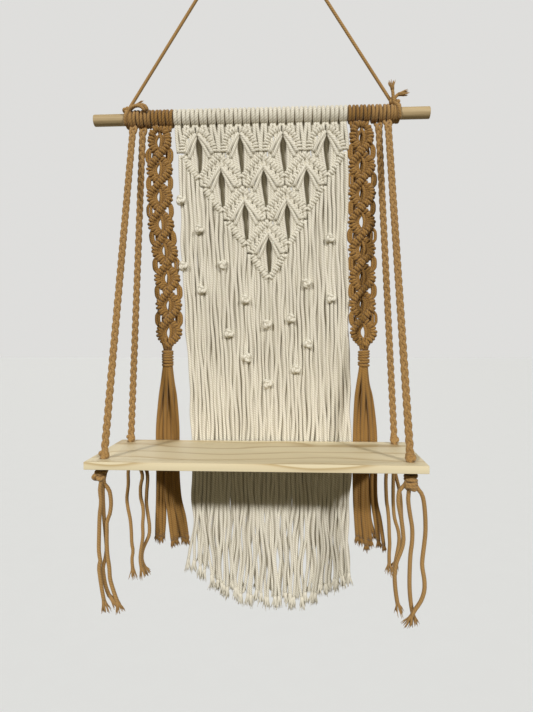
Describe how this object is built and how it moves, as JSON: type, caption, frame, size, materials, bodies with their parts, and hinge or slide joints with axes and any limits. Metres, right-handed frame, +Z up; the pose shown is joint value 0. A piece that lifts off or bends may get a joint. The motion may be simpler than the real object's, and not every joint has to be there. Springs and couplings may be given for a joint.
{
  "type": "macrame wall shelf with dowel",
  "caption": "Macrame wall hanging with a shelf board: knotted white panel with fringe, tan side bands with tassels, braided ropes and a hanger cord on a round wooden dowel.",
  "frame": {"origin": "hang point: middle of the hanger cord at the top of its bend, where it lies over a nail", "axes": "+Z up, +Y towards the wall, +X to the right as seen from the front"},
  "size_m": [0.405, 0.1326, 0.8651],
  "materials": {
    "white_cord": "matte",
    "tan_cord": "matte",
    "dowel_wood": "satin",
    "board_wood": "satin"
  },
  "bodies": {
    "root": {"dowel": "dowel_wood", "board": "board_wood", "panel": "white_cord", "band_left": "tan_cord", "gathering_wrap_left": "tan_cord", "tassel_left": "tan_cord", "band_right": "tan_cord", "gathering_wrap_right": "tan_cord", "tassel_right": "tan_cord", "rope_front_left": "tan_cord", "rope_rear_left": "tan_cord", "rope_rear_right": "tan_cord", "rope_front_right": "tan_cord", "hanger": "tan_cord"}
  },
  "joints": []
}
